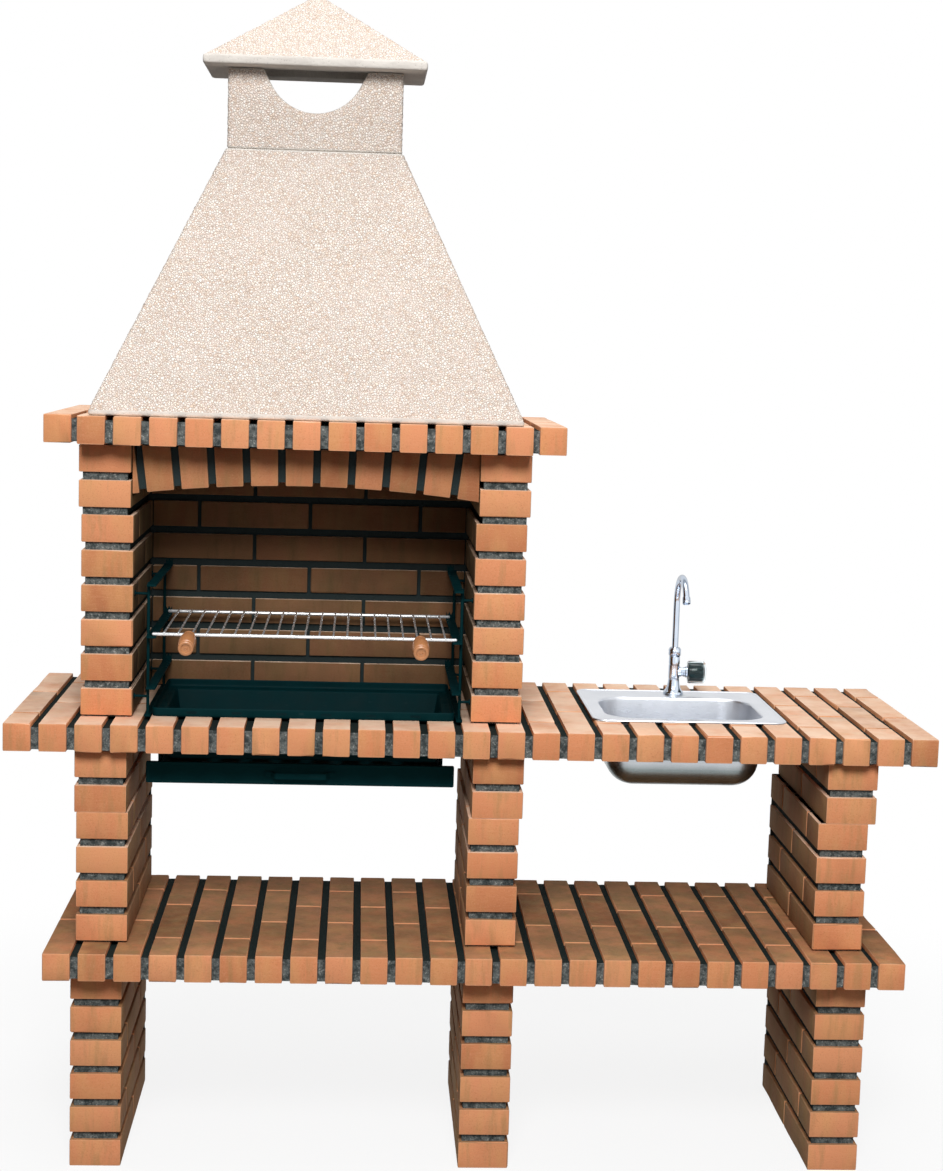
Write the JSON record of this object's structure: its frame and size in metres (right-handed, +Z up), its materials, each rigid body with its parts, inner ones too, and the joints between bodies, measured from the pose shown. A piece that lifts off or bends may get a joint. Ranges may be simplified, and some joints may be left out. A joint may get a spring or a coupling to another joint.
{
  "type": "outdoor masonry barbecue with sink",
  "caption": "Freestanding brick barbecue: arched firebox with charcoal tray, wire grill and ash drawer under a tapered smoke hood, with a shelf and a worktop holding a sink and swivel tap.",
  "frame": {"origin": "on the ground, under the middle of the overall box", "axes": "+X right along the worktop as seen from the cook's side, +Y from the cook towards the back, +Z up"},
  "size_m": [1.755, 0.599, 2.2317],
  "materials": {
    "ash_drawer": "black heat-proof paint, satin",
    "brick_arch": "wire-cut clay brick, orange-salmon, with raked dark grey mortar joints",
    "charcoal_tray": "black heat-proof paint, satin",
    "chimney_collar": "exposed fine pebble aggregate, cream and pale pink",
    "chimney_roof": "exposed fine pebble aggregate, cream and pale pink",
    "drawer_pull": "black heat-proof paint, satin",
    "drawer_runner_left": "black heat-proof paint, satin",
    "drawer_runner_right": "black heat-proof paint, satin",
    "firebox_wall_back": "wire-cut clay brick, orange-salmon, with raked dark grey mortar joints",
    "firebox_wall_left": "wire-cut clay brick, orange-salmon, with raked dark grey mortar joints",
    "firebox_wall_right": "wire-cut clay brick, orange-salmon, with raked dark grey mortar joints",
    "grill_grid": "bright plated wire",
    "grill_handle_left": "turned, clear varnish",
    "grill_handle_right": "turned, clear varnish",
    "grill_rack_left": "black heat-proof paint, satin",
    "grill_rack_right": "black heat-proof paint, satin",
    "hearth_ring_back": "wire-cut clay brick, orange-salmon, with raked dark grey mortar joints",
    "hearth_ring_left": "wire-cut clay brick, orange-salmon, with raked dark grey mortar joints",
    "hearth_ring_right": "wire-cut clay brick, orange-salmon, with raked dark grey mortar joints",
    "leg_cap_left": "wire-cut clay brick, orange-salmon, with raked dark grey mortar joints",
    "leg_cap_middle": "wire-cut clay brick, orange-salmon, with raked dark grey mortar joints",
    "leg_cap_right": "wire-cut clay brick, orange-salmon, with raked dark grey mortar joints",
    "lower_leg_left": "wire-cut clay brick, orange-salmon, with raked dark grey mortar joints",
    "lower_leg_middle": "wire-cut clay brick, orange-salmon, with raked dark grey mortar joints",
    "lower_leg_right": "wire-cut clay brick, orange-salmon, with raked dark grey mortar joints",
    "mantel_end_left": "wire-cut clay brick, orange-salmon, with raked dark grey mortar joints",
    "mantel_end_right": "wire-cut clay brick, orange-salmon, with raked dark grey mortar joints",
    "mantel_slab": "wire-cut clay brick, orange-salmon, with raked dark grey mortar joints",
    "shelf_slab_left": "wire-cut clay brick, orange-salmon, with raked dark grey mortar joints",
    "shelf_slab_right": "wire-cut clay brick, orange-salmon, with raked dark grey mortar joints",
    "sink_bowl": "satin stainless steel",
    "sink_strainer": "satin stainless steel",
    "smoke_hood": "exposed fine pebble aggregate, cream and pale pink",
    "spout_nut": "polished",
    "tap_aerator": "polished",
    "tap_backnut": "polished",
    "tap_body": "polished",
    "tap_bonnet": "polished",
    "tap_knob_core": "moulded, dark green-black",
    "tap_knob_shell": "clear moulded shell",
    "tap_spindle": "polished",
    "tap_spout": "polished",
    "upper_leg_left": "wire-cut clay brick, orange-salmon, with raked dark grey mortar joints",
    "upper_leg_middle": "wire-cut clay brick, orange-salmon, with raked dark grey mortar joints",
    "upper_leg_right": "wire-cut clay brick, orange-salmon, with raked dark grey mortar joints",
    "waste_fitting": "satin stainless steel",
    "waste_nut": "moulded",
    "worktop_hearth_slab": "wire-cut clay brick, orange-salmon, with raked dark grey mortar joints",
    "worktop_sink_slab": "wire-cut clay brick, orange-salmon, with raked dark grey mortar joints"
  },
  "bodies": {
    "masonry": {"brick_arch": "brick_arch", "chimney_collar": "chimney_collar", "chimney_roof": "chimney_roof", "drawer_runner_left": "drawer_runner_left", "drawer_runner_right": "drawer_runner_right", "firebox_wall_back": "firebox_wall_back", "firebox_wall_left": "firebox_wall_left", "firebox_wall_right": "firebox_wall_right", "grill_rack_left": "grill_rack_left", "grill_rack_right": "grill_rack_right", "hearth_ring_back": "hearth_ring_back", "hearth_ring_left": "hearth_ring_left", "hearth_ring_right": "hearth_ring_right", "leg_cap_left": "leg_cap_left", "leg_cap_middle": "leg_cap_middle", "leg_cap_right": "leg_cap_right", "lower_leg_left": "lower_leg_left", "lower_leg_middle": "lower_leg_middle", "lower_leg_right": "lower_leg_right", "mantel_end_left": "mantel_end_left", "mantel_end_right": "mantel_end_right", "mantel_slab": "mantel_slab", "shelf_slab_left": "shelf_slab_left", "shelf_slab_right": "shelf_slab_right", "sink_bowl": "sink_bowl", "smoke_hood": "smoke_hood", "spout_nut": "spout_nut", "tap_backnut": "tap_backnut", "tap_body": "tap_body", "tap_bonnet": "tap_bonnet", "upper_leg_left": "upper_leg_left", "upper_leg_middle": "upper_leg_middle", "upper_leg_right": "upper_leg_right", "waste_fitting": "waste_fitting", "waste_nut": "waste_nut", "worktop_hearth_slab": "worktop_hearth_slab", "worktop_sink_slab": "worktop_sink_slab"},
    "ash_drawer": {"ash_drawer": "ash_drawer", "drawer_pull": "drawer_pull"},
    "charcoal_tray": {"charcoal_tray": "charcoal_tray"},
    "grill": {"grill_grid": "grill_grid", "grill_handle_left": "grill_handle_left", "grill_handle_right": "grill_handle_right"},
    "strainer": {"sink_strainer": "sink_strainer"},
    "spout": {"tap_spout": "tap_spout", "tap_aerator": "tap_aerator"},
    "knob": {"tap_knob_core": "tap_knob_core", "tap_knob_shell": "tap_knob_shell", "tap_spindle": "tap_spindle"}
  },
  "joints": [
    {"name": "ash_drawer_slide", "type": "slide", "parent": "masonry", "child": "ash_drawer", "axis": [0, -1, 0], "range_m": [0, 0.24]},
    {"name": "charcoal_tray_lift", "type": "slide", "parent": "masonry", "child": "charcoal_tray", "axis": [0, 0, 1], "range_m": [0, 0.034]},
    {"name": "grill_slide", "type": "slide", "parent": "masonry", "child": "grill", "axis": [0, -1, 0], "range_m": [0, 0.3]},
    {"name": "strainer_lift", "type": "slide", "parent": "masonry", "child": "strainer", "axis": [0, 0, 1], "range_m": [0, 0.06]},
    {"name": "spout_swivel", "type": "hinge", "parent": "masonry", "child": "spout", "pos_m": [0.4367, 0.1835, 0.9401], "axis": [0, 0, 1], "range_deg": [-170, 170]},
    {"name": "knob_turn", "type": "hinge", "parent": "masonry", "child": "knob", "pos_m": [0.4597, 0.1835, 0.9071], "axis": [1, 0, 0], "range_deg": [0, 540]}
  ]
}
